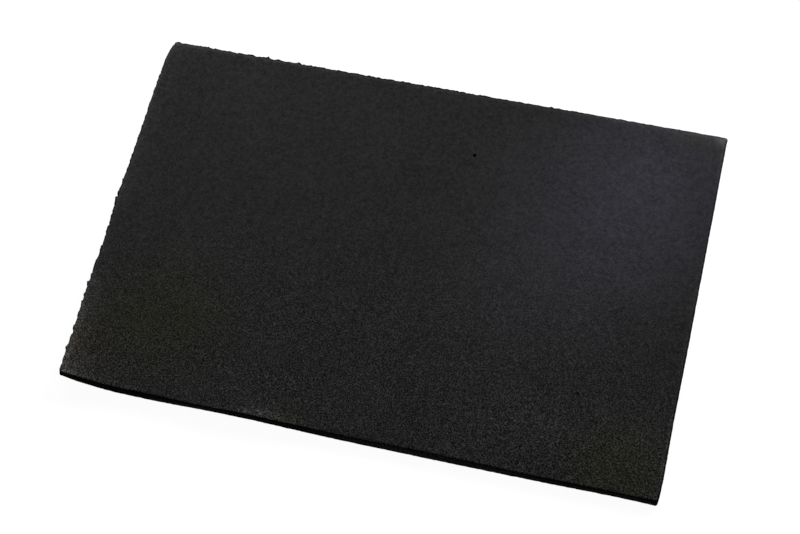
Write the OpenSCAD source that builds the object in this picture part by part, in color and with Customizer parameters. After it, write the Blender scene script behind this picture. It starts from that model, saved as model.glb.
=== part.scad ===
// Foam sheet: a small piece of closed-cell foam cut out of a larger sheet.
// The near and right edges are factory edges, the far and left ones are cut by hand.
// It lies flat on z = 0, except for its near left corner, which has curled up.

/* [Sheet] */
// Length along X
sheet_w = 148; // [100:1:300]
// Depth along Y
sheet_d = 105; // [75:1:210]
// Thickness of the foam
foam_t = 3; // [1.5:0.5:8]
// Radius of the softened lips around both faces
lip_r = 0.4; // [0.2:0.05:0.7]
// Radius of the corners in plan
corner_r = 0.6; // [0.3:0.1:3]

/* [Left edge, cut by hand] */
// Distance between the snags that the blade left
snag_pitch = 3.3; // [2:0.1:8]
// Depth of the deepest snag
snag_depth = 0.45; // [0:0.05:1]
// Part of a snag's length taken by its steep side
snag_steep = 0.12; // [0.05:0.01:0.4]
// How far the cut turns in at the far end
clip_in = 1.5; // [0:0.1:4]
// Length of that turn
clip_length = 6.5; // [2:0.5:10]
// How far the cut turns in at the near end
nip_in = 1.3; // [0:0.1:3]
// Length of that turn
nip_length = 28; // [5:1:35]

/* [Far edge, cut by hand] */
// Distance between the scallops that the blade left
scallop_pitch = 2.3; // [1.5:0.1:6]
// Depth of the deepest scallop
scallop_depth = 0.25; // [0:0.05:0.6]
// How far the cut runs out of square at its left end
far_skew = 2.2; // [0:0.1:4]

/* [Near left corner] */
// Rise of the curled corner above the table
curl_rise = 3.4; // [0:0.1:8]
// Reach of the curl along the near edge
curl_reach_x = 18; // [10:1:40]
// Reach of the curl along the left edge
curl_reach_y = 32; // [10:1:60]

/* [Near edge] */
// Rise of the long lift of the near edge
lift_rise = 1; // [0:0.1:3]
// Distance of its crest from the left edge
lift_at = 16; // [0:1:60]
// Half the length of that lift
lift_half = 84; // [20:1:95]
// How far it reaches in from the edge
lift_reach = 30; // [10:1:35]
// Rise of the short swell on top of it
swell_rise = 0.7; // [0:0.1:2]
// Distance of the swell's crest from the left edge
swell_at = 45; // [20:1:70]
// Half the length of the swell
swell_half = 23; // [8:1:40]
// How far the swell reaches in from the edge
swell_reach = 9; // [4:1:20]

/* [Void] */
// Diameter of the open bubble in the top face
void_d = 1.1; // [0.4:0.1:2]
// Distance of the bubble from the right edge
void_from_right = 62.3; // [5:0.1:80]
// Distance of the bubble from the far edge
void_from_far = 19.8; // [5:0.1:40]

/* [Hidden] */

half_w = sheet_w / 2;
half_d = sheet_d / 2;
snags = max(3, round(sheet_d / snag_pitch));
scallops = max(3, round(sheet_w / scallop_pitch));
near_points = 36;
right_points = 14;
corner_points = 3;
// The two faces are ringed as far in as the foam is raised anywhere, and flat inside that
curl_inset = curl_reach_x * curl_reach_y / (curl_reach_x + curl_reach_y);
raised_to = min(max(curl_inset, lift_reach, swell_reach), 0.9 * min(half_w, half_d));
ring_insets = [for (f = [1, 0.66, 0.43, 0.26, 0.13, 0.05]) f * raised_to];

// A repeatable value from 0 to 1 for each whole number and series
function jitter(i, series) =
    let (v = sin(i * 78.233 + series * 37.719) * 43758.5453)
    v - floor(v);

// A smooth hump: 1 at t = 0, falling to 0 at t = 1 and beyond, with no slope there
function hump(t) = abs(t) < 1 ? pow(1 - t * t, 2) : 0;

// A one-sided fade: 1 at t = 0, falling to 0 at t = 1 and beyond
function fade(t) = t < 1 ? pow(1 - t, 2) : 0;

// Height of the underside above the table at a point of the plan
function rise(p) =
    let (
        from_left = p.x + half_w,
        from_near = p.y + half_d,
        curl = curl_rise * fade(from_left / curl_reach_x + from_near / curl_reach_y),
        lift = lift_rise * hump((from_left - lift_at) / lift_half) * fade(from_near / lift_reach),
        swell = swell_rise * hump((from_left - swell_at) / swell_half) * fade(from_near / swell_reach)
    )
    curl + lift + swell;

// Rounded corner in plan about a centre, turning counter-clockwise from an angle
function corner(centre, from) =
    [for (i = [0 : corner_points]) let (a = from + 90 * i / corner_points)
        centre + corner_r * [cos(a), sin(a)]];

// Depth of the far edge at a given x, before its scallops
function far_y(x) = half_d - far_skew * (half_w - x) / sheet_w;

// Place of the left edge at a given y, before its snags
function left_x(y) =
    -half_w + clip_in * fade((far_y(-half_w) - y) / clip_length) + nip_in * fade((y + half_d) / nip_length);

near_edge = [for (i = [1 : near_points - 1])
    [-half_w + nip_in + corner_r + (sheet_w - nip_in - 2 * corner_r) * i / near_points, -half_d]];

right_edge = [for (i = [1 : right_points - 1])
    [half_w, -half_d + corner_r + (sheet_d - 2 * corner_r) * i / right_points]];

// Each scallop is a root and a crest, the roots at uneven depths
far_edge = [for (i = [0 : scallops - 1]) for (k = [0, 1])
    let (
        t = (i + 0.5 * k + 0.3 * (jitter(i, 1) - 0.5) + 0.3) / scallops,
        x = half_w - corner_r - (sheet_w - 2 * corner_r - clip_in) * t,
        depth = scallop_depth * (k == 0 ? jitter(i, 2) : 0.35 * jitter(i, 3))
    )
    [x, far_y(x) - depth]];

// Each snag is a root, a tip close after it and a point on the long slope back
left_edge = [for (i = [0 : snags - 1]) for (k = [0, snag_steep, 0.5])
    let (
        t = (i + k + 0.5 * (jitter(i, 4) - 0.5) + 0.3) / snags,
        y = far_y(-half_w) - corner_r - (sheet_d - far_skew - 2 * corner_r) * t,
        tip = 0.25 * jitter(i, 5),
        depth = snag_depth * (k == 0 ? 0.35 + 0.65 * jitter(i, 6) : k < 0.5 ? tip : 0.5 * tip + 0.3)
    )
    [left_x(y) + depth, y]];

outline = concat(
    corner([-half_w + nip_in + corner_r, -half_d + corner_r], 180),
    near_edge,
    corner([half_w - corner_r, -half_d + corner_r], 270),
    right_edge,
    corner([half_w - corner_r, half_d - corner_r], 0),
    far_edge,
    corner([-half_w + clip_in + corner_r, far_y(-half_w) - corner_r], 90),
    left_edge
);

// The section from the underside out over both lips to the top face: inset from the outline, height
lip_45 = lip_r * (1 - cos(45));
section = concat(
    [for (e = ring_insets) [e, 0]],
    [[lip_r, 0], [lip_45, lip_45], [0, lip_r]],
    [[0, foam_t - lip_r], [lip_45, foam_t - lip_45], [lip_r, foam_t]],
    [for (i = [len(ring_insets) - 1 : -1 : 0]) [ring_insets[i], foam_t]]
);

// A point of the sheet: in from the outline, raised with the underside, then straight up through the foam
function on_sheet(p, inset, height) =
    let (q = [p.x * (1 - inset / half_w), p.y * (1 - inset / half_d)])
    [q.x, q.y, rise(q) + height];

// Closed skin: the section carried around the outline, with a fan of triangles closing each face
module sheet_skin() {
    n = len(outline);
    rings = len(section);
    points = [for (s = section) for (p = outline) on_sheet(p, s[0], s[1])];
    centres = [[0, 0, 0], [0, 0, foam_t]];
    bands = [for (r = [0 : rings - 2]) for (i = [0 : n - 1])
        let (a = r * n + i, b = r * n + (i + 1) % n)
        each [[a, a + n, b + n], [a, b + n, b]]];
    last = (rings - 1) * n;
    caps = [for (i = [0 : n - 1])
        let (j = (i + 1) % n)
        each [[rings * n, i, j], [rings * n + 1, last + j, last + i]]];
    polyhedron(concat(points, centres), concat(bands, caps), convexity = 4);
}

module foam_sheet() {
    color([0.13, 0.13, 0.13])
        difference() {
            sheet_skin();
            translate([half_w - void_from_right, half_d - void_from_far, foam_t])
                sphere(d = void_d, $fn = 16);
        }
}

foam_sheet();
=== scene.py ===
"""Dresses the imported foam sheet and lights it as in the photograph.

One closed mesh of cut foam takes the place of the frame's foam_sheet node: two faces with soft lips, two clean and two
ragged edges, a curled corner and a few open bubbles. The foam's lengths are in millimetres, in the frame's axes, and
become metres when a mesh is written. The studio's are in metres.
"""
import logging
import math
from dataclasses import dataclass
from enum import Enum
from typing import Any, Union

import bmesh
import bpy
import numpy as np
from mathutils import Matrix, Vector


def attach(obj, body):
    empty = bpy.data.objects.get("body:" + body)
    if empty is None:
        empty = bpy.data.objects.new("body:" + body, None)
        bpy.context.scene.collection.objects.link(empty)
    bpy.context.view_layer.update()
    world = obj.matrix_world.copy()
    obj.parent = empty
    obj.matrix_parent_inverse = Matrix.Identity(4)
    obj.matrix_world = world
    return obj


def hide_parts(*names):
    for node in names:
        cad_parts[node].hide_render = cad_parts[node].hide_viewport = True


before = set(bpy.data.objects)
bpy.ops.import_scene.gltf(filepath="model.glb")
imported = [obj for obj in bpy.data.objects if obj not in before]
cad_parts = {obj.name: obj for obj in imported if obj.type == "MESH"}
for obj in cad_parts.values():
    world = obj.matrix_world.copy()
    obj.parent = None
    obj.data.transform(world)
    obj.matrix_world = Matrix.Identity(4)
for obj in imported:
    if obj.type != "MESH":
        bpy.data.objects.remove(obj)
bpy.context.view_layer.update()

LOG = logging.getLogger("foam_sheet")
MM = 0.001
Array = np.ndarray
Object, Mesh, Material = bpy.types.Object, bpy.types.Mesh, bpy.types.Material
Socket = bpy.types.NodeSocket
Colour = tuple[float, float, float]
WHITE: Colour = (1.0, 1.0, 1.0)


class Edge(Enum):
    """The runs that make up the sheet's outline, counter-clockwise from the near left corner."""

    NEAR = 0
    RIGHT = 1
    FAR = 2
    LEFT = 3
    CORNER = 4


class Mask(Enum):
    """Per-vertex masks that the foam finish reads."""

    CUT = "cut"
    # paler rims, partly wear and partly painted highlights; on the near side, its crushed stretches
    WEAR_AND_HIGHLIGHT = "scuff"


# Repeatable numbers and curves


def jitter(i: Array, series: int) -> Array:
    """Repeatable values from 0 to 1, unlike for each whole number and series: the fraction of a large sine."""
    value = np.sin(np.radians(np.asarray(i, float) * 78.233 + series * 37.719)) * 43758.5453
    return value - np.floor(value)


def smooth_noise(u: Array, v: Array, series: int) -> Array:
    """Gives noise from -1 to 1: random lattice values joined by an S-curve, t * t * (3 - 2 * t), in both directions.

    Args:
        u: first coordinate, one lattice step per unit.
        v: second coordinate, broadcast with u.
        series: picks one of many unlike noises.

    Returns:
        An array of the broadcast shape.
    """
    u, v = np.broadcast_arrays(np.asarray(u, float), np.asarray(v, float))
    iu, iv = np.floor(u), np.floor(v)
    fu, fv = u - iu, v - iv
    fu, fv = fu * fu * (3 - 2 * fu), fv * fv * (3 - 2 * fv)

    def corner(du: int, dv: int) -> Array:
        """Random value of one corner of each lattice cell."""
        value = np.sin((iu + du) * 12.9898 + (iv + dv) * 78.233 + series * 3.7719) * 43758.5453
        return value - np.floor(value)

    low = corner(0, 0) * (1 - fu) + corner(1, 0) * fu
    high = corner(0, 1) * (1 - fu) + corner(1, 1) * fu
    return 2 * (low * (1 - fv) + high * fv) - 1


def hump(t: Array) -> Array:
    """Smooth hump, (1 - t * t) squared: 1 at t = 0, 0 from t = 1 outwards."""
    return np.where(np.abs(t) < 1, (1 - t * t) ** 2, 0.0)


def fade(t: Array) -> Array:
    """One-sided fade, (1 - t) squared: 1 at t = 0, 0 from t = 1 on."""
    return np.where(t < 1, (1 - t) ** 2, 0.0)


def shoulder(t: Array) -> Array:
    """Rounded step down, 1 - t * t * (3 - 2 * t): 1 up to t = 0, 0 from t = 1 on."""
    t = np.clip(t, 0, 1)
    return 1 - t * t * (3 - 2 * t)


@dataclass(frozen=True)
class Profile:
    """A strength or a depth along an edge: a level with humps and rounded steps on it.

    Attributes:
        level: the value where there is neither.
        humps: middle, half length and height of each hump.
        steps: start, run and height of each step: whole up to its start, gone after its run. A run below 0 turns it.
    """

    level: float = 0.0
    humps: tuple[tuple[float, float, float], ...] = ()
    steps: tuple[tuple[float, float, float], ...] = ()

    def at(self, t: Array) -> Array:
        """The level, plus height * hump of each hump and height * shoulder of each step, at places along the edge."""
        humps = sum(height * hump((t - middle) / half) for middle, half, height in self.humps)
        return self.level + humps + sum(height * shoulder((t - start) / run) for start, run, height in self.steps)


def by_edge(kinds: Array, values: dict[Edge, Any]) -> Array:
    """Picks for each place of the outline the value given for its edge, and 0 on an edge without one."""
    return np.select([kinds == edge.value for edge in values], list(values.values()), 0.0)


# Meshes


def grid_faces(rings: int, around: int) -> tuple[Array, Array]:
    """Numbers the faces of rings of points that close on themselves and end in a pole at each end.

    The points are ring 0, ring 1 and so on, then the first and the last pole. A ring that runs counter-clockwise seen
    from above, with later rings further along the outside, gives faces that point outwards.

    Args:
        rings: number of rings.
        around: points in each ring.

    Returns:
        The quads between rings, and the triangles at the two poles.
    """
    i = np.arange(around)
    j = (i + 1) % around
    start = np.arange(rings - 1)[:, None] * around
    quads = np.stack([start + i, start + j, start + around + j, start + around + i], -1).reshape(-1, 4)
    last = (rings - 1) * around
    first_pole = np.full(around, rings * around)
    caps = np.concatenate([np.stack([first_pole, j, i], -1), np.stack([first_pole + 1, last + i, last + j], -1)])
    return quads, caps


def write_mesh(name: str, points: Array, quads: Array, triangles: Array) -> Object:
    """Writes points in millimetres, quads and triangles to an object in metres.

    Args:
        name: the object's and the mesh's name.
        points: (n, 3) places.
        quads: (m, 4) indices.
        triangles: (k, 3) indices.

    Returns:
        The object, smooth shaded, at the origin of the scene.
    """
    mesh = bpy.data.meshes.new(name)
    mesh.vertices.add(len(points))
    mesh.vertices.foreach_set("co", (points * MM).astype(np.float32).ravel())
    mesh.loops.add(quads.size + triangles.size)
    mesh.loops.foreach_set("vertex_index", np.concatenate([quads.ravel(), triangles.ravel()]).astype(np.int32))
    totals = np.concatenate([np.full(len(quads), 4), np.full(len(triangles), 3)])
    mesh.polygons.add(len(totals))
    mesh.polygons.foreach_set("loop_start", (np.cumsum(totals) - totals).astype(np.int32))
    mesh.polygons.foreach_set("use_smooth", np.ones(len(totals), bool))
    mesh.update(calc_edges=True)
    mesh.validate()
    made = bpy.data.objects.new(name, mesh)
    bpy.context.scene.collection.objects.link(made)
    return made


def write_mask(mesh: Mesh, mask: Mask, values: Array) -> None:
    """Stores one value from 0 to 1 for each vertex of a mesh as that mask."""
    mesh.attributes.new(mask.value, "FLOAT", "POINT").data.foreach_set("value", values.astype(np.float32).ravel())


# Shader maths

Number = Union[float, "Value"]


class Value:
    """A value socket that Python's operators turn into Math nodes."""

    def __init__(self, graph: "Graph", socket: Socket) -> None:
        """Keeps the graph that new Math nodes go into, and the socket."""
        self.graph = graph
        self.socket = socket

    def math(self, operation: str, *values: Number) -> "Value":
        """Adds one Math node with these inputs, in order."""
        return self.graph.value("ShaderNodeMath", {"operation": operation}, dict(enumerate(values)))

    def __add__(self, other: Number) -> "Value":
        """self + other."""
        return self.math("ADD", self, other)

    def __radd__(self, other: Number) -> "Value":
        """other + self."""
        return self.math("ADD", other, self)

    def __sub__(self, other: Number) -> "Value":
        """self - other."""
        return self.math("SUBTRACT", self, other)

    def __rsub__(self, other: Number) -> "Value":
        """other - self."""
        return self.math("SUBTRACT", other, self)

    def __mul__(self, other: Number) -> "Value":
        """self * other."""
        return self.math("MULTIPLY", self, other)

    def __rmul__(self, other: Number) -> "Value":
        """other * self."""
        return self.math("MULTIPLY", other, self)

    def at_least(self, other: Number) -> "Value":
        """The larger of the two."""
        return self.math("MAXIMUM", self, other)

    def at_most(self, other: Number) -> "Value":
        """The smaller of the two."""
        return self.math("MINIMUM", self, other)

    def ramp(self, low: float, high: float) -> "Value":
        """Rises smoothly from 0 at low to 1 at high."""
        settings = {"interpolation_type": "SMOOTHSTEP"}
        return self.graph.value("ShaderNodeMapRange", settings, {"Value": self, "From Min": low, "From Max": high})


class Graph:
    """A material's or a world's node tree, emptied and ready to build in."""

    def __init__(self, tree: bpy.types.NodeTree) -> None:
        """Empties the tree."""
        tree.nodes.clear()
        self.tree = tree

    def node(self, kind: str, settings: dict[str, Any], inputs: dict[Any, Any]) -> bpy.types.Node:
        """Adds one node.

        Args:
            kind: the node's type.
            settings: its own properties, set first.
            inputs: socket name or number to a plain value, a Value or a socket to link.

        Returns:
            The node.
        """
        made = self.tree.nodes.new(kind)
        for key, setting in settings.items():
            setattr(made, key, setting)
        for key, given in inputs.items():
            source = given.socket if isinstance(given, Value) else given
            if isinstance(source, Socket):
                self.tree.links.new(source, made.inputs[key])
            else:
                made.inputs[key].default_value = source
        return made

    def value(self, kind: str, settings: dict[str, Any], inputs: dict[Any, Any], output: Any = 0) -> Value:
        """Adds one node and gives one of its outputs, by name or number, as a value."""
        return Value(self, self.node(kind, settings, inputs).outputs[output])

    def mask(self, mask: Mask) -> Value:
        """The mesh's own mask of that name."""
        return self.value("ShaderNodeAttribute", {"attribute_name": mask.value}, {}, "Fac")

    def seen(self) -> Value:
        """Tells the rays that the camera sees by, directly, in a reflection or through a clear thing, from others.

        Returns:
            1 on such rays, 0 on others.
        """
        path = self.node("ShaderNodeLightPath", {}, {})
        camera, mirror, through = (
            Value(self, path.outputs[name]) for name in ("Is Camera Ray", "Is Glossy Ray", "Is Transmission Ray")
        )
        return camera.at_least(mirror).at_least(through)

    def tinted(self, factor: Number, low: Any, high: Any, blend: str = "MIX") -> Socket:
        """Mixes two colours.

        Args:
            factor: 0 for low, 1 for high, more for past high.
            low: a colour or a colour socket.
            high: a colour or a colour socket.
            blend: how high goes over low.

        Returns:
            The mixed colour's socket.
        """
        low, high = (opaque(colour) if isinstance(colour, tuple) else colour for colour in (low, high))
        settings = {"data_type": "RGBA", "blend_type": blend, "clamp_factor": False}
        return self.node("ShaderNodeMix", settings, {0: factor, 6: low, 7: high}).outputs[2]


def opaque(colour: Colour) -> tuple[float, float, float, float]:
    """The colour with full alpha, as a colour socket wants it."""
    return (*colour, 1.0)


# Finishes


@dataclass(frozen=True)
class Spot:
    """A round place of the plan that is tinted or pale, strongest in its middle.

    Attributes:
        x, y: its middle, in millimetres.
        radius: where it ends.
        colour: the colour of a crumb or of a painted highlight, or what a stain multiplies the foam's colour by.
    """

    x: float
    y: float
    radius: float
    colour: Colour


@dataclass(frozen=True)
class FoamFinish:
    """Matt black closed-cell foam: fine cells on the split faces, darker open cells on the cut sides, and lips painted
    paler, partly for wear and partly as painted highlights.

    Attributes:
        wall, pore: colours of the cell walls that catch the light, and of the open pores between them.
        cut, cut_pore: the same in the cut sides.
        crushed: colour of the walls in the cut sides where they are crushed.
        scuff: colour of the cell walls on the paler rims, partly rubbed and partly painted highlight.
        rub_and_highlight_most: share of that colour that a rim has at most.
        stains: faintly yellowed places.
        crumbs_and_highlight: a few pale crumbs, and a painted highlight on the far right corner's tip.
        cell: mean size of a cell in millimetres.
        contrast: how far single cells depart from the mean, near the front.
        far_loss: how much of that contrast is lost at the far edge, where the skin is closed.
        open_to, closed_from: the y up to which none of that is lost, and from which all of it is.
        end_loss: how much sooner it is lost for each millimetre left and right of the middle.
        rough, gloss: mean roughness and specular level.
        bump: strength of the cells' bump, and its depth in metres.
    """

    wall: Colour = (0.0436, 0.0436, 0.0436)
    pore: Colour = (0.0020, 0.0020, 0.0020)
    cut: Colour = (0.0015, 0.0015, 0.0015)
    cut_pore: Colour = (0.0006, 0.0006, 0.0006)
    crushed: Colour = (0.030, 0.030, 0.030)
    # painted highlight and wear: the colour that the paler rims take
    scuff: Colour = (0.116, 0.115, 0.112)
    rub_and_highlight_most: float = 0.85
    stains: tuple[Spot, ...] = (
        Spot(-54, -31, 25, (1.0, 1.0, 0.80)),
        Spot(63, -47, 18, (1.0, 1.0, 0.78)),
        Spot(-70.5, -43.5, 12, (1.0, 0.90, 0.82)),
        Spot(-16.5, -50, 6, (1.0, 1.0, 0.86)),
        Spot(65, 52, 9, (1.0, 1.0, 0.88)),
        Spot(74, 45, 7, (1.0, 1.0, 0.88)),
    )
    crumbs_and_highlight: tuple[Spot, ...] = (
        Spot(-23.7, -50.9, 0.45, (0.13, 0.13, 0.12)),
        Spot(-22.8, -51.5, 0.45, (0.12, 0.12, 0.11)),
        Spot(38.67, -35.0, 0.28, (0.13, 0.13, 0.13)),
        Spot(36.68, -39.31, 0.28, (0.13, 0.13, 0.13)),
        # painted highlight: the pale tip of the far right corner
        Spot(73.2, 51.6, 3.2, (0.085, 0.085, 0.08)),
    )
    cell: float = 0.33
    contrast: float = 0.66
    far_loss: float = 0.78
    open_to: float = -55.0
    closed_from: float = 30.0
    end_loss: tuple[float, float] = (0.16, 0.08)
    rough: float = 0.86
    gloss: float = 0.012
    bump: tuple[float, float] = (0.5, 0.00010)

    def build(self) -> Material:
        """Builds the material, on Object coordinates and the mesh's masks.

        The grain is a sum of the distance from a cell's middle, the cell's own value and fine noise, each about its
        mean. The tone, 0 in a pore and 1 on a wall, is half, plus the grain times a contrast that falls away from the
        front, plus a mottle that grows there. The faces are made paler along the rims, partly for wear and partly as
        painted highlights, then stained, then strewn with crumbs and one painted highlight.

        Returns:
            The foam material.
        """
        material = bpy.data.materials.new("foam")
        material.use_nodes = True
        g = Graph(material.node_tree)
        place = g.node("ShaderNodeTexCoord", {}, {}).outputs["Object"]
        per_mm = g.node("ShaderNodeVectorMath", {"operation": "SCALE"}, {0: place, "Scale": 1.0 / MM}).outputs[0]
        plan = g.node("ShaderNodeVectorMath", {"operation": "MULTIPLY"}, {0: per_mm, 1: (1.0, 1.0, 0.0)}).outputs[0]
        axes = g.node("ShaderNodeSeparateXYZ", {}, {0: per_mm})
        across, inward = Value(g, axes.outputs["X"]), Value(g, axes.outputs["Y"])
        cells = g.node("ShaderNodeTexVoronoi", {}, {"Vector": per_mm, "Scale": 1.0 / self.cell})
        middle = Value(g, cells.outputs["Distance"])
        own = g.value("ShaderNodeSeparateColor", {}, {0: cells.outputs["Color"]})
        cut, scuff = g.mask(Mask.CUT), g.mask(Mask.WEAR_AND_HIGHLIGHT)

        def noise(scale: float, detail: float, roughness: float = 0.5) -> Value:
            """Noise from 0 to 1, with that many waves to the millimetre."""
            inputs = {"Vector": per_mm, "Scale": scale, "Detail": detail, "Roughness": roughness}
            return g.value("ShaderNodeTexNoise", {}, inputs)

        def within(spot: Spot) -> Value:
            """1 in the spot's middle, falling smoothly to 0 at its radius."""
            gap = {0: plan, 1: (spot.x, spot.y, 0.0)}
            return 1.0 - g.value("ShaderNodeVectorMath", {"operation": "DISTANCE"}, gap, "Value").ramp(0.0, spot.radius)

        fine, cloud, soft = noise(3.2, 3.0, 0.6), noise(0.09, 3.0), noise(0.9, 1.0)
        left, right = self.end_loss
        away = (inward + (across * -left).at_least(across * right)).ramp(self.open_to, self.closed_from)
        grain = (middle - 0.52) * 3.0 + (own - 0.5) * 0.5 + (fine - 0.5) * 0.9
        contrast = self.contrast - away * (self.contrast * self.far_loss)
        mottle = (soft - 0.5) * (0.10 + away * 0.40) + (cloud - 0.5) * 0.15
        tone = (0.5 + grain * contrast + mottle).at_least(0.0).at_most(2.0)

        # painted highlights and wear: this mask makes the rims paler
        rub_and_highlight = (scuff * (0.35 + fine * 1.3)).at_most(self.rub_and_highlight_most)
        face = g.tinted(rub_and_highlight, g.tinted(tone, self.pore, self.wall), g.tinted(tone, self.pore, self.scuff))
        for stain in self.stains:
            strength = (within(stain) * (0.4 + cloud * 1.6)).at_most(1.0)
            face = g.tinted(strength, face, stain.colour, "MULTIPLY")
        # pale crumbs, and one painted highlight at the far right corner
        for pale_spot in self.crumbs_and_highlight:
            face = g.tinted(within(pale_spot), face, pale_spot.colour)

        cut_tone = (0.5 + grain * 0.8).at_least(0.1)
        side = g.tinted(cut_tone, self.cut_pore, g.tinted(scuff, self.cut, self.crushed))
        relief = own * 0.2 + middle * 0.8 + fine * 0.4
        inputs = dict(zip(("Height", "Strength", "Distance"), (relief, *self.bump)))
        shader = g.node("ShaderNodeBsdfPrincipled", {}, {
            "Base Color": g.tinted(cut.ramp(0.25, 0.75), face, side),
            "Roughness": self.rough + (fine - 0.5) * 0.2,
            "Normal": g.node("ShaderNodeBump", {}, inputs).outputs[0],
            "Specular IOR Level": self.gloss,
        })
        g.node("ShaderNodeOutputMaterial", {}, {"Surface": shader.outputs[0]})
        return material


@dataclass(frozen=True)
class TableFinish:
    """White table top that looks burnt out to the camera and keeps a faint shadow.

    Attributes:
        white: colour of the top under ordinary light.
        glow: how much of the white that the camera sees is there in any light.
        shade: how much of it the light and the shadow change.
    """

    white: Colour = (0.80, 0.80, 0.80)
    glow: float = 0.96
    shade: float = 0.09

    def build(self) -> Material:
        """Builds the material.

        Returns:
            The table material.
        """
        material = bpy.data.materials.new("table_white")
        material.use_nodes = True
        g = Graph(material.node_tree)
        plain = g.node("ShaderNodeBsdfDiffuse", {}, {"Color": opaque(self.white)})
        catch = g.node("ShaderNodeBsdfDiffuse", {}, {"Color": opaque((self.shade,) * 3)})
        glow = g.node("ShaderNodeEmission", {}, {"Color": opaque(WHITE), "Strength": self.glow})
        seen = g.node("ShaderNodeAddShader", {}, {0: catch.outputs[0], 1: glow.outputs[0]})
        mixed = g.node("ShaderNodeMixShader", {}, {0: g.seen(), 1: plain.outputs[0], 2: seen.outputs[0]})
        g.node("ShaderNodeOutputMaterial", {}, {"Surface": mixed.outputs[0]})
        return material


# The sheet


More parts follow.
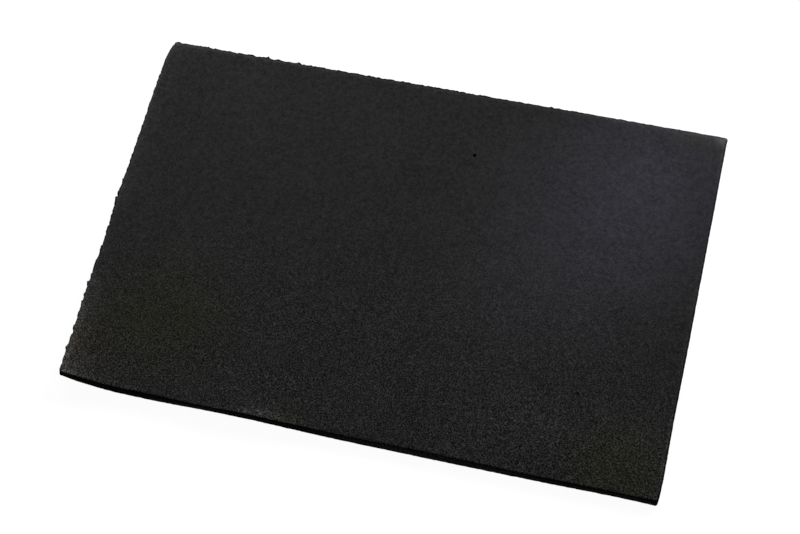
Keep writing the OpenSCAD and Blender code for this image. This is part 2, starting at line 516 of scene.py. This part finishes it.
@dataclass
class FoamSheet:
    """The cut sheet, in millimetres, mostly as in the CAD model, with the methods that build and dress its mesh.

    Attributes:
        width, depth, thickness: its flat size.
        lip, corner: radius of the faces' lips, and of the corners in plan.
        snag_pitch, snag_depth, snag_steep: distance and depth of the left edge's snags, share of their steep side.
        scallop_pitch, scallop_depth: distance and depth of the far edge's scallops.
        snag_share, scallop_share: how much of their depth these marks have along the edge.
        clip_in, clip_length: how far the left edge turns in at its far end, and the turn's length.
        nip_in, nip_length: the same at its near end, where the corner is corner_in further in.
        right_in, right_length: the same at the right edge's near end.
        far_skew, far_out: how far the far edge runs out of square at its left end, and stands out from its line.
        curl_rise, curl_reach: rise of the curled near left corner, and its reach along the near and the left edge.
        lifts: the near edge's long lift and the short swell on it, each its rise, the distance of its crest from the
            left edge, half its length and its reach inwards.
        step, far_step, left_step: distance between the outline's points on the near and right, far and left edges.
        turn_points, lip_points, side_points: points on each corner, on each lip and on the cut side with its ends.
        ring_insets: distances of the faces' rings from the outline.
        cell_relief, hand_relief: depth of the cut sides' cells, and how many times deeper they are if cut by hand.
        fray, tuft: depth of the hand-cut edges' fray, and length of the rare tufts in it.
        far_ragged, left_ragged: how much of both those edges have.
        far_rim_shade, left_rim_shade, right_rim_shade: how far the cut's dark colour takes in the upper lip, a painted
        shade along the rim, for the first two by the distance from far_middle or left_middle.
        undercut: how far the left side leans in at the bottom.
        corner_wear_and_highlight_reach: reach of the near left corner's rounder lip, painted paler for wear and as a
            highlight.
        pinch_rise, pinch_splay: how far the near left tip's lower lip is pinched up, and splayed to the left.
        pinch_reach: reach of that, and of the crisp lower lip at both near corners.
        rim_drop, rim_reach: depth and width of the top face's sunken far, right and left rims.
        sway, sway_pitch: height of the top face's slight waves, and the distance between them.
        blade_slant: how far along the edge a mark runs for each millimetre down.
        barbs: place along the left edge and size of each barb.
        barb_length: length over which a barb falls back.
        barb_hook, barb_full: how far a barb of the size barb_full is hooked.
        near_lean, near_crush: how far the near side leans out at the top, and how crushed it is.
        near_roll, near_droop: how much rounder the near edge's upper lip is, and how far its rim sinks.
        near_rub_and_highlight to right_rub_and_highlight: how much paler the top face is along each rim, partly for
            wear and partly as painted highlights.
        beside_left to beside_near: how much paler it is further in from that rim, for wear and painted highlights.
        beside_left to beside_near: how rubbed it is further in from that rim.
        bubbles: place and size of each open bubble.
        bubble_dent, bubble_sink: how far a bubble departs from a ball, as a share of its radius, and how deep its
            middle lies, as a share of its size.
        bubble_rim: depth of its pale rim.
    """

    width: float = 148.0
    depth: float = 105.0
    thickness: float = 3.0
    lip: float = 0.4
    corner: float = 0.6
    snag_pitch: float = 3.3
    snag_depth: float = 0.38
    snag_steep: float = 0.08
    scallop_pitch: float = 2.5
    scallop_depth: float = 0.26
    snag_share: Profile = Profile(0.45, steps=((0, 12, 0.3),))
    scallop_share: Profile = Profile(0.35, steps=((-5, 45, 0.8),))
    clip_in: float = 1.38
    clip_length: float = 6.5
    nip_in: float = 1.3
    nip_length: float = 28.0
    corner_in: float = 0.25
    right_in: float = 0.30
    right_length: float = 6.0
    far_skew: float = 2.2
    far_out: float = 0.12
    curl_rise: float = 3.4
    curl_reach: tuple[float, float] = (18.0, 32.0)
    lifts: tuple[tuple[float, float, float, float], ...] = ((1.0, 16.0, 84.0, 30.0), (0.7, 45.0, 23.0, 9.0))
    step: float = 0.32
    far_step: float = 0.20
    left_step: float = 0.15
    turn_points: int = 7
    lip_points: int = 6
    side_points: int = 9
    ring_insets: tuple[float, ...] = (48.0, 36.0, 27.0, 20.0, 14.5, 10.0, 7.0, 4.6, 3.0, 2.1, 1.5, 1.1)
    cell_relief: float = 0.055
    hand_relief: float = 1.5
    fray: float = 0.08
    tuft: float = 0.30
    far_ragged: Profile = Profile(0.4, steps=((0, 50, 1.4),))
    left_ragged: float = 0.4
    # painted shade: a dark line along the far, left and right rims, from the cut's dark colour on the upper lip
    far_rim_shade: Profile = Profile(0.84, steps=((24, 14, 0.16),))
    far_middle: float = -2.0
    left_rim_shade: Profile = Profile(steps=((20, 8, 0.7),))
    left_middle: float = 1.0
    right_rim_shade: float = 0.62
    undercut: float = 0.22
    corner_wear_and_highlight_reach: float = 12.0
    pinch_rise: float = 0.9
    pinch_splay: float = 0.28
    pinch_reach: float = 4.6
    rim_drop: float = 0.16
    rim_reach: float = 1.75
    sway: float = 0.05
    sway_pitch: float = 17.0
    blade_slant: float = 0.45
    barbs: tuple[tuple[float, float], ...] = (
        (30.2, 0.24), (6.2, 0.28), (2.4, 0.16), (0.6, 0.22), (-14.2, 0.30), (-22.5, 0.28),
        (-24.9, 0.40), (-27.9, 0.18), (-30.8, 0.40), (-38.1, 0.36), (-44.7, 0.22),
    )
    barb_length: float = 1.2
    barb_hook: float = 0.22
    barb_full: float = 0.4
    near_lean: Profile = Profile(
        0.16, ((-40, 13, 0.34), (60, 19, 0.26), (15, 40, -0.12), (-11, 9, -0.2), (-64, 13, -0.16))
    )
    near_crush: Profile = Profile(0.0, ((-43, 15, 0.4), (17, 38, 1.0), (60, 20, 0.35)))
    near_roll: Profile = Profile(0.0, ((-47, 14, 1.4), (16, 34, 1.0), (56, 20, 0.6)))
    near_droop: Profile = Profile(0.0, ((-42, 14, 0.16), (-2, 22, 0.2)))
    near_stray: Profile = Profile(0.0, ((-70, 16, 0.18), (62, 18, 0.16)))
    left_stray: Profile = Profile(
        0.08, ((45, 8, 0.2), (1, 9, -0.32), (-15, 9, 0.22), (-19.5, 2.5, -0.25), (-36, 10, 0.22))
    )
    right_stray: Profile = Profile(0.05, ((-28, 18, 0.09),))
    far_stray: Profile = Profile(0.0, ((-72, 10, -0.14),))
    # painted highlights and wear: how much paler each rim of the top face is made
    near_rub_and_highlight: Profile = Profile(
        0.0, ((-74, 22, 0.4), (-22.5, 9, 0.75), (-12, 7, 0.35), (30, 30, 0.14), (74, 9, 0.35))
    )
    left_rub_and_highlight: Profile = Profile(0.42, steps=((-36, 8, 0.55),))
    far_rub_and_highlight: Profile = Profile(0.36, ((-30, 20, 0.12),), ((-68, 34, 0.3), (46, -12, 0.2)))
    right_rub_and_highlight: Profile = Profile(0.12, steps=((2, 14, 0.26), (-34, 8, 0.2), (42, -9, 0.5)))
    beside_left: Profile = Profile(steps=((1, -7, 0.13), (-28, 8, 0.32)))
    beside_far: Profile = Profile(steps=((64, -16, 0.16),))
    beside_near: Profile = Profile(steps=((36, -25, 0.08),))
    bubbles: tuple[tuple[float, float, float], ...] = (
        (11.69, 32.67, 1.0), (50.1, -28.7, 0.64), (18.98, 42.16, 0.36), (11.15, 21.64, 0.36),
    )
    bubble_dent: float = 0.18
    bubble_sink: float = 0.12
    bubble_rim: float = 0.08

    def rise(self, x: Array, y: Array) -> Array:
        """Height of the underside: a corner curl, a long lift of the near edge and a short swell on it.

        Args:
            x: places along the long edge.
            y: places along the short edge.

        Returns:
            The sum of a squared fade from the near left corner and two humps along the near edge that fade inwards.
        """
        from_left, from_near = x + self.width / 2, y + self.depth / 2
        raised = self.curl_rise * fade(from_left / self.curl_reach[0] + from_near / self.curl_reach[1])
        for rise, crest, half, reach in self.lifts:
            raised = raised + rise * (hump((from_left - crest) / half) * fade(from_near / reach))
        return raised

    def far_y(self, x: Array) -> Array:
        """Place of the far edge: a straight line, out of square by far_skew at its left end."""
        return self.depth / 2 - self.far_skew * (self.width / 2 - x) / self.width

    def left_x(self, y: Array) -> Array:
        """Place of the left edge: a straight line that turns in by clip_in at its far and nip_in at its near end."""
        clip = self.clip_in * fade((self.far_y(-self.width / 2) - y) / self.clip_length)
        return -self.width / 2 + clip + self.nip_in * fade((y + self.depth / 2) / self.nip_length)

    def from_edges(self, x: Array, y: Array) -> tuple[Array, Array, Array, Array]:
        """Distances of places from the near, right, far and left edges' lines."""
        return y + self.depth / 2, self.width / 2 - x, self.far_y(x) - y, x - self.left_x(y)

    def near_corners(self) -> tuple[Array, Array]:
        """Places of the near left and the near right corner."""
        left, right = -self.width / 2 + self.nip_in + self.corner_in, self.width / 2 - self.right_in
        return np.array([left, -self.depth / 2]), np.array([right, -self.depth / 2])

    def scallops(self) -> tuple[Array, Array]:
        """Depth of the blade's scallops along the far edge.

        Returns:
            Places along the edge, rising, and depths: a root and a crest for each scallop, at uneven steps.
        """
        count = max(3, round(self.width / self.scallop_pitch))
        i, k = np.repeat(np.arange(count), 2), np.tile([0, 1], count)
        t = (i + 0.5 * k + 0.3 * (jitter(i, 1) - 0.5) + 0.3) / count
        x = self.width / 2 - self.corner - (self.width - 2 * self.corner - self.clip_in) * t
        deep = self.scallop_depth * self.scallop_share.at(x)
        depth = deep * np.where(k == 0, jitter(i, 2), 0.35 * jitter(i, 3)) - self.far_out
        return x[::-1], depth[::-1]

    def snags(self) -> tuple[Array, Array]:
        """Depth of the blade's snags along the left edge.

        Returns:
            Places along the edge, rising, and depths: a root, a tip close after it and a long slope back for each snag.
        """
        count = max(3, round(self.depth / self.snag_pitch))
        i, k = np.repeat(np.arange(count), 3), np.tile([0.0, self.snag_steep, 0.5], count)
        t = (i + k + 0.5 * (jitter(i, 4) - 0.5) + 0.3) / count
        far = self.far_y(-self.width / 2) - self.corner
        y = far - (self.depth - self.far_skew - 2 * self.corner) * t
        tip = 0.25 * jitter(i, 5)
        root = 0.35 + 0.65 * jitter(i, 6)
        deep = self.snag_depth * self.snag_share.at(y)
        depth = deep * np.where(k == 0, root, np.where(k < 0.5, tip, 0.5 * tip + 0.3))
        return y[::-1], depth[::-1]

    def outline(self) -> tuple[Array, Array, Array]:
        """Walks the smooth outline counter-clockwise from the near edge's left end: four runs and four round corners.

        Returns:
            Places (n, 2), inward directions (n, 2) and the Edge number of each.
        """
        w, d, r = self.width / 2, self.depth / 2, self.corner
        far_left = self.far_y(-w)
        (near_left, _), (near_right, _) = self.near_corners()

        def run(length: float, step: float) -> Array:
            """Even steps from 0 to 1 without the last, about one step apart."""
            return np.arange(count := max(2, round(length / step))) / count

        def turn(cx: float, cy: float, start: float) -> tuple[Array, Array]:
            """Places and inward directions of a quarter circle about a middle, from an angle in degrees."""
            a = np.radians(start + 90 * np.arange(self.turn_points) / self.turn_points)
            return np.array([cx, cy]) + r * (out := np.stack([np.cos(a), np.sin(a)], -1)), -out

        def edge(x: Array, y: Array, inward: tuple[float, float]) -> tuple[Array, Array]:
            """Places of a run, with one inward direction."""
            x, y = np.broadcast_arrays(x, y)
            return np.stack([x, y], -1), np.tile(np.array(inward), (len(x), 1))

        x_near = near_left + r + (near_right - near_left - 2 * r) * run(2 * w - 2 * r, self.step)
        y_right = -d + r + (2 * d - 2 * r) * run(2 * d - 2 * r, self.step)
        x_far = w - r - (2 * w - 2 * r - self.clip_in) * run(2 * w - 2 * r, self.far_step)
        y_left = far_left - r - (far_left + d - 2 * r) * run(far_left + d - 2 * r, self.left_step)
        runs = [
            (edge(x_near, np.array(-d), (0, 1)), Edge.NEAR),
            (turn(near_right - r, -d + r, 270), Edge.CORNER),
            (edge(w - self.right_in * fade((y_right + d) / self.right_length), y_right, (-1, 0)), Edge.RIGHT),
            (turn(w - r, d - r, 0), Edge.CORNER),
            (edge(x_far, self.far_y(x_far), (0, -1)), Edge.FAR),
            (turn(-w + self.clip_in + r, far_left + self.far_out - r, 90), Edge.CORNER),
            (edge(self.left_x(y_left), y_left, (1, 0)), Edge.LEFT),
            (turn(near_left + r, -d + r, 180), Edge.CORNER),
        ]
        places = np.concatenate([places for (places, _), _ in runs])
        inward = np.concatenate([inward for (_, inward), _ in runs])
        kinds = np.concatenate([np.full(len(places), kind.value) for (places, _), kind in runs])
        return places, inward, kinds

    def section(self, places: Array, kinds: Array) -> tuple[Array, Array, Array, Array]:
        """The profile carried round the outline: underside, lower lip, cut side, upper lip and top face.

        A lip is a quarter circle: its inset is r - r sin a and its height r - r cos a. The upper one is rounder at the
        worn near left corner, whose lip is also painted paler as a highlight, along the far, left and right rims, where
        a dark line of shade is painted, and where the near edge is rolled. The lower one is crisp at both near corners.
        Wear and pinch are squared fades from a corner. The cut side is divided evenly. The cut's colour fades over a
        lip with the sine, sooner at the near left corner, which paints that lip paler, and later along the rims, down
        to a floor that paints the dark line of shade there.

        Args:
            places: the outline's places.
            kinds: the Edge number of each.

        Returns:
            Inset from the outline, height above the underside and how far the place belongs to the cut side, 0 to 1,
            each (rings, n), and how far each place is pinched with the near left tip, 0 to 1.
        """
        x, y = places.T
        pinch, other = (fade(np.linalg.norm(places - tip, axis=1) / self.pinch_reach) for tip in self.near_corners())
        # wear and painted highlight: the near left corner's lip is rounder and paler
        corner_wear_and_highlight = fade(np.hypot(x + self.width / 2, y + self.depth / 2) / self.corner_wear_and_highlight_reach)
        # painted shade: how dark the line along each rim is
        rim_shade = by_edge(kinds, {
            Edge.FAR: self.far_rim_shade.at(np.abs(x - self.far_middle)),
            Edge.LEFT: self.left_rim_shade.at(np.abs(y - self.left_middle)),
            Edge.RIGHT: self.right_rim_shade,
        })
        lip = self.lip * (1 + 0.4 * corner_wear_and_highlight + 0.3 * rim_shade + by_edge(kinds, {Edge.NEAR: self.near_roll.at(x)}))
        under = self.lip * (1 - 0.75 * np.maximum(pinch, other))
        turn = np.radians(np.linspace(0, 90, self.lip_points))[:, None]
        share = np.linspace(0, 1, self.side_points)[1:-1, None]
        side = under + (self.thickness - lip - under) * share
        flat = np.array(self.ring_insets)[:, None] + 0 * lip
        base = flat[::2]
        inset = np.concatenate([
            base, under * (1 - np.sin(turn)), side * 0, (lip * (1 - np.sin(turn)))[::-1], flat[::-1],
        ])
        height = np.concatenate([
            base * 0, under * (1 - np.cos(turn)), side, self.thickness - (lip * (1 - np.cos(turn)))[::-1],
            flat * 0 + self.thickness,
        ])
        steep = np.sin(turn) + 0 * lip
        # a floor of 0.6 times the rim shade paints the dark line of shade; the corner's higher power paints its lip
        # paler
        upper = np.maximum(steep ** (1 + 4 * corner_wear_and_highlight - 0.8 * rim_shade), 0.6 * rim_shade)
        cut = np.concatenate([base * 0, steep, side * 0 + 1, upper[::-1], flat * 0])
        return inset, height, cut, pinch

    def blade_marks(self, places: Array, kinds: Array, height: Array) -> tuple[Array, Array]:
        """Marks of the blade: scallops on the far edge, snags and barbs on the left one, but for its far end.

        They slant down the side: at a height, the edge has the mark that the top has further along by blade_slant for
        each millimetre down. A barb stands out at once and falls back evenly, its hook four times as fast.

        Args:
            places: the outline's places.
            kinds: the Edge number of each.
            height: heights above the underside, (rings, n).

        Returns:
            How far the marks reach in and how far they are hooked towards the far end, each (rings, n).
        """
        x, y = places.T
        lag = self.blade_slant * (self.thickness - height)
        far = np.interp(x + lag, *self.scallops())
        at, size = (np.array(v)[:, None, None] for v in zip(*self.barbs))
        back = (at - (y + lag)) / self.barb_length
        out = size * np.where(back >= 0, np.clip(1 - back, 0, 1), 0)
        hooked = size / self.barb_full * self.barb_hook * np.where(back >= 0, np.clip(1 - 4 * back, 0, 1), 0)
        left = np.interp(y + lag, *self.snags()) - out.sum(0)
        left = left * (1 - shoulder((self.far_y(x) - y - 5) / 3))
        return by_edge(kinds, {Edge.FAR: far, Edge.LEFT: left}), by_edge(kinds, {Edge.LEFT: hooked.sum(0)})

    def roughened(self, places: Array, kinds: Array, height: Array) -> tuple[Array, Array]:
        """Fray of the hand-cut edges and open cells of the cut sides.

        The fray is fine noise along the outline, less the cube of coarser noise where that is above 0, for rare tufts.
        The cells are two sizes of noise along the outline and up the side.

        Args:
            places: the outline's places.
            kinds: the Edge number of each.
            height: heights above the underside, (rings, n).

        Returns:
            How far the fray reaches in, (n), and the cells, (rings, n).
        """
        along = np.cumsum(np.linalg.norm(np.diff(places, axis=0, prepend=places[-1:]), axis=1))
        fine, rare = (smooth_noise(along / pitch, 0.0, series) for pitch, series in ((0.5, 14), (0.9, 15)))
        ragged = by_edge(kinds, {Edge.FAR: self.far_ragged.at(places[:, 0]), Edge.LEFT: self.left_ragged})
        frayed = ragged * (self.fray * fine - self.tuft * np.maximum(rare, 0) ** 3)
        cells = smooth_noise(along / 0.55, height / 0.5, 11) + 0.6 * smooth_noise(along / 1.5, height / 1.1, 12)
        by_hand = np.isin(kinds, [Edge.FAR.value, Edge.LEFT.value])
        return frayed, self.cell_relief * cells * np.where(by_hand, self.hand_relief, 1.0)

    def sunk(self, x: Array, y: Array) -> Array:
        """Depth of the top face's rims: rounded steps at the far, right and left ones, and a droop at the near one."""
        near, *rims = (shoulder(d / reach) for d, reach in zip(self.from_edges(x, y), (2.4, *[self.rim_reach] * 3)))
        return self.rim_drop * np.minimum(sum(rims), 1) + self.near_droop.at(x) * near

    def skin(self) -> tuple[Array, Array, Array]:
        """Carries the section round the outline.

        A point starts on the outline and moves in by the blade's marks, the edge's stray, the undercut, the fray and
        the cells at its height, and out by the near side's lean, each fading with its inset. It is drawn towards the
        middle by its inset, pinched up and splayed at the near left tip, sunk at the rims and raised with the sheet.

        Returns:
            Places (rings, n, 3), the height and the cut mask, each (rings, n).
        """
        places, inward, kinds = self.outline()
        x, y = places.T
        inset, height, cut, pinch = self.section(places, kinds)
        up = height / self.thickness
        marks, hooked = self.blade_marks(places, kinds, height)
        frayed, cells = self.roughened(places, kinds, height)
        stray = by_edge(kinds, {
            Edge.NEAR: self.near_stray.at(x), Edge.RIGHT: self.right_stray.at(y),
            Edge.FAR: self.far_stray.at(x), Edge.LEFT: self.left_stray.at(y),
        })
        under = by_edge(kinds, {Edge.LEFT: self.undercut}) * (1 - pinch) * (1 - up)
        lean = by_edge(kinds, {Edge.NEAR: self.near_lean.at(x)}) * up
        moved = (marks + stray + under) * np.exp(-inset / 4.0) - lean * np.exp(-inset / 2.0)
        moved = moved + frayed * np.exp(-inset / 0.5) + cells * cut
        pinched = pinch * np.exp(-inset / 2.0) * (1 - up)
        x = (x + inward[:, 0] * moved - self.pinch_splay * pinched) * (1 - 2 * inset / self.width)
        y = (y + inward[:, 1] * moved + hooked * np.exp(-inset / 0.3)) * (1 - 2 * inset / self.depth)
        waves = self.sway * smooth_noise(x / self.sway_pitch, y / self.sway_pitch, 13) * np.clip(inset / 3, 0, 1)
        above = height + self.pinch_rise * pinched + (waves - self.sunk(x, y)) * up
        return np.stack([x, y, self.rise(x, y) + above], -1), height, cut

    def wear_and_highlights(self, points: Array, height: Array, cut: Array) -> Array:
        """Paler places of the top face, for wear and painted highlights, and crushed places of the near side.

        Each rim has a strength along it times a fade or a rounded step down away from it, and so have the paler strips
        beside the left, far and near rims; these are wear and painted highlights. The near left corner is made paler as
        a whole, partly for wear and partly as a painted highlight, and the near side is crushed by a strength along it.

        Args:
            points: places on the skin.
            height: their height above the underside.
            cut: their cut mask.

        Returns:
            A mask from 0 to 1.
        """
        x, y = points[..., 0], points[..., 1]
        near, right, far, left = self.from_edges(x, y)
        left_reach = 2.0 + 0.7 * shoulder((y + 36) / 8)
        # painted highlights and wear: the rims and the strips beside them are made paler
        rims = self.near_rub_and_highlight.at(x) * fade(near / 4.0) + self.left_rub_and_highlight.at(y) * shoulder(left / left_reach)
        rims = rims + self.far_rub_and_highlight.at(x) * shoulder(far / self.rim_reach) + self.right_rub_and_highlight.at(y) * shoulder(right / 1.4)
        beside = self.beside_left.at(y) * shoulder((left - 1) / (5 + 3 * shoulder((y + 40) / 8)))
        beside = beside + self.beside_far.at(x) * shoulder((far - 1) / 4)
        beside = beside + self.beside_near.at(x) * hump((near - 13) / 12)
        # painted highlight and wear: the near left corner is made paler as a whole
        corner_wear_and_highlight = 0.25 * fade(np.hypot(near, left) / 16)
        rub_and_highlight = (rims + beside + corner_wear_and_highlight) * (height > self.thickness - 2.5 * self.lip)
        crushed = self.near_crush.at(x) * shoulder((near - 0.5) / 0.5)
        return np.clip(np.where(cut > 0.6, crushed, rub_and_highlight), 0, 1)

    def build(self) -> Object:
        """Builds the sheet, with its open bubbles cut into the top face.

        Returns:
            The object, at the origin.
        """
        points, height, cut = self.skin()
        poles = np.array([[0.0, 0.0, 0.0], [0.0, 0.0, self.thickness]])
        vertices = np.concatenate([points.reshape(-1, 3), poles])
        sheet = write_mesh("foam_sheet_skin", vertices, *grid_faces(*points.shape[:2]))
        write_mask(sheet.data, Mask.CUT, np.append(cut.ravel(), [0, 0]))
        write_mask(sheet.data, Mask.WEAR_AND_HIGHLIGHT, np.append(self.wear_and_highlights(points, height, cut).ravel(), [0, 0]))
        self.open_bubbles(sheet)
        return sheet

    def bubble_tool(self) -> Object:
        """Builds the balls that cut the bubbles: each a sphere of its bubble's size, dented by noise, mostly sunk.

        Returns:
            One object of separate closed balls.
        """
        x, y, size = (np.array(v)[:, None, None] for v in zip(*self.bubbles))
        middle = self.thickness - self.bubble_sink * size
        polar = np.radians(np.linspace(0, 180, 12))[1:-1][None, :, None]
        turn = np.radians(np.arange(0, 360, 18))[None, None, :]
        radius = size / 2 * (1 + self.bubble_dent * smooth_noise(turn * 0.9 + x, polar * 1.3 + y, 21))
        ball = np.stack([
            x + radius * np.sin(polar) * np.cos(turn),
            y + radius * np.sin(polar) * np.sin(turn),
            middle - radius * np.cos(polar),
        ], -1)
        count, rings, around = ball.shape[:3]
        ends = np.array([-0.5, 0.5]) * size[:, :, 0] + middle[:, :, 0]
        poles = np.stack([*np.broadcast_arrays(x[:, :, 0], y[:, :, 0], ends)], -1)
        points = np.concatenate([ball.reshape(count, -1, 3), poles], 1)
        shift = (np.arange(count) * points.shape[1])[:, None, None]
        quads, caps = ((faces + shift).reshape(-1, faces.shape[1]) for faces in grid_faces(rings, around))
        return write_mesh("bubble_tool", points.reshape(-1, 3), quads, caps)

    def open_bubbles(self, sheet: Object) -> None:
        """Cuts the bubbles out of the sheet's mesh and removes the tool.

        Args:
            sheet: the sheet, whose mesh is replaced by the cut one.
        """
        tool = self.bubble_tool()
        change = sheet.modifiers.new("bubbles", "BOOLEAN")
        change.operation, change.solver, change.object = "DIFFERENCE", "EXACT", tool
        solid = bpy.data.meshes.new_from_object(sheet.evaluated_get(bpy.context.evaluated_depsgraph_get()))
        sheet.modifiers.clear()
        plain, sheet.data = sheet.data, solid
        for mesh in (plain, tool.data):
            bpy.data.meshes.remove(mesh)
        solid.name = sheet.name
        self.clean_rims(solid)
        solid.set_sharp_from_angle(angle=math.radians(60))
        self.darken_bubbles(solid)

    def clean_rims(self, mesh: Mesh) -> None:
        """Takes out the vertices that only two edges meet in, which the cut leaves on the bubbles' rims.

        Both sides of a rim would cut such a corner off by the same line, and fold a sliver there.

        Args:
            mesh: the sheet's mesh, with the bubbles open.
        """
        ends = np.empty(len(mesh.edges) * 2, np.int32)
        mesh.edges.foreach_get("vertices", ends)
        spare = np.flatnonzero(np.bincount(ends, minlength=len(mesh.vertices)) == 2)
        shell = bmesh.new()
        shell.from_mesh(mesh)
        shell.verts.ensure_lookup_table()
        bmesh.ops.dissolve_verts(shell, verts=[shell.verts[i] for i in spare])
        shell.to_mesh(mesh)
        shell.free()

    def darken_bubbles(self, mesh: Mesh) -> None:
        """Marks the insides of the bubbles as cut: the places below their rims and within their size of their middles.

        Args:
            mesh: the sheet's mesh, with the bubbles open.
        """
        places, cut = np.empty(len(mesh.vertices) * 3, np.float32), np.empty(len(mesh.vertices), np.float32)
        mesh.vertices.foreach_get("co", places)
        mask = mesh.attributes[Mask.CUT.value].data
        mask.foreach_get("value", cut)
        x, y, z = (places.reshape(-1, 3) / MM).T
        middle_x, middle_y, size = (np.array(v)[:, None] for v in zip(*self.bubbles))
        around = np.any(np.hypot(x - middle_x, y - middle_y) < size, 0)
        inside = around & (z > self.thickness / 2) & (z < self.thickness - self.bubble_rim)
        mask.foreach_set("value", np.where(inside, 1.0, cut).astype(np.float32))

    def dress(self, sheet: Object, finish: FoamFinish) -> None:
        """Gives the sheet its finish and ties it to the frame.

        Args:
            sheet: the built sheet.
            finish: the foam finish.
        """
        sheet.data.materials.clear()
        sheet.data.materials.append(finish.build())
        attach(sheet, "root")
        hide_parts("foam_sheet")


# The studio


def direction(azimuth: float, elevation: float) -> Vector:
    """Unit vector (sin a cos e, -cos a cos e, sin e) towards a viewpoint, from its angles in degrees."""
    a, e = math.radians(azimuth), math.radians(elevation)
    return Vector((math.sin(a) * math.cos(e), -math.cos(a) * math.cos(e), math.sin(e)))


@dataclass(frozen=True)
class Softbox:
    """A rectangular soft lamp that looks at the sheet.

    Attributes:
        name: what it is called.
        azimuth: degrees round the place it is aimed at, 0 on the near side and 90 on the right.
        elevation: degrees above the table.
        distance: metres from the place it is aimed at.
        size: its width and height in metres.
        watts, colour: its power and its light's colour.
        aim: the place on the table it is aimed at, in metres.
        spread: degrees that its light fans out over, as a grid in front of it sets.
    """

    name: str
    azimuth: float
    elevation: float
    distance: float
    size: tuple[float, float]
    watts: float
    colour: Colour = WHITE
    aim: tuple[float, float] = (0.0, 0.0)
    spread: float = 180.0

    def place(self) -> None:
        """Hangs the lamp."""
        lamp = bpy.data.lights.new(self.name, "AREA")
        lamp.shape, lamp.size, lamp.size_y = "RECTANGLE", *self.size
        lamp.energy, lamp.color, lamp.spread = self.watts, self.colour, math.radians(self.spread)
        made = bpy.data.objects.new(self.name, lamp)
        back = direction(self.azimuth, self.elevation)
        made.location = Vector((*self.aim, 0.0)) + back * self.distance
        made.rotation_euler = back.to_track_quat("Z", "Y").to_euler()
        bpy.context.scene.collection.objects.link(made)


@dataclass
class Studio:
    """Table, lamps, room light and camera, in metres.

    Attributes:
        table_half: half the side of the table top.
        table_drop: how far it lies below the underside, so that the two don't coincide.
        room: strength of the even light of the room.
        azimuth: degrees of the camera round the sheet, 0 on the near side and 90 on the right.
        elevation: degrees of the camera above the table.
        distance, target: distance of the camera from the place that it looks at, and that place.
        lens, sensor: its focal length and its sensor's width in millimetres.
        lamps: the lamps.
    """

    table_half: float = 6.0
    table_drop: float = 0.00005
    room: float = 0.08
    azimuth: float = 12.873
    elevation: float = 59.529
    distance: float = 0.5825
    target: tuple[float, float, float] = (0.000086, -0.002124, 0.0)
    lens: float = 104.943
    sensor: float = 36.0
    lamps: tuple[Softbox, ...] = (
        Softbox("back_right", 148.0, 36.0, 0.78, (0.50, 0.30), 4.45),
        Softbox("back_left", 221.0, 40.0, 0.26, (0.15, 0.15), 0.28),
        Softbox("corner_grid", 152.0, 38.0, 0.35, (0.03, 0.03), 0.0086, (0.72, 0.67, 1.0), (0.0512, 0.0270), 10.3),
    )

    def lay_table(self) -> None:
        """Lays the table top, one square a hair below the underside."""
        h, z = self.table_half, -self.table_drop
        mesh = bpy.data.meshes.new("table")
        mesh.from_pydata([(-h, -h, z), (h, -h, z), (h, h, z), (-h, h, z)], [], [(0, 1, 2, 3)])
        mesh.materials.append(TableFinish().build())
        table = bpy.data.objects.new("table", mesh)
        bpy.context.scene.collection.objects.link(table)

    def fill_room(self) -> None:
        """Lights the room evenly, and lets the camera see it as white, also in reflections and through clear things."""
        world = bpy.data.worlds.new("room")
        bpy.context.scene.world = world
        world.use_nodes = True
        g = Graph(world.node_tree)
        plain, white = (
            g.node("ShaderNodeBackground", {}, {"Color": opaque(WHITE), "Strength": strength})
            for strength in (self.room, 1.0)
        )
        mixed = g.node("ShaderNodeMixShader", {}, {0: g.seen(), 1: plain.outputs[0], 2: white.outputs[0]})
        g.node("ShaderNodeOutputWorld", {}, {"Surface": mixed.outputs[0]})

    def stand_camera(self) -> None:
        """Stands the camera at the photograph's viewpoint, level and with no shift."""
        data = bpy.data.cameras.new("camera")
        data.lens, data.sensor_width, data.sensor_fit = self.lens, self.sensor, "HORIZONTAL"
        data.clip_start, data.clip_end = 0.01, 50.0
        camera = bpy.data.objects.new("camera", data)
        camera.location = Vector(self.target) + direction(self.azimuth, self.elevation) * self.distance
        camera.rotation_euler = (math.radians(90 - self.elevation), 0.0, math.radians(self.azimuth))
        bpy.context.scene.collection.objects.link(camera)
        bpy.context.scene.camera = camera

    def build(self) -> None:
        """Sets up the table, the light and the camera."""
        bpy.context.scene.view_settings.view_transform = "Standard"
        self.lay_table()
        self.fill_room()
        for lamp in self.lamps:
            lamp.place()
        self.stand_camera()


def main() -> None:
    """Builds the studio and the sheet, and reports each piece."""
    logging.basicConfig(level=logging.INFO, format="%(name)s: %(message)s")
    Studio().build()
    maker = FoamSheet()
    sheet = maker.build()
    maker.dress(sheet, FoamFinish())
    LOG.info("%s: %d vertices, %d faces", sheet.name, len(sheet.data.vertices), len(sheet.data.polygons))


if __name__ == "__main__":
    main()
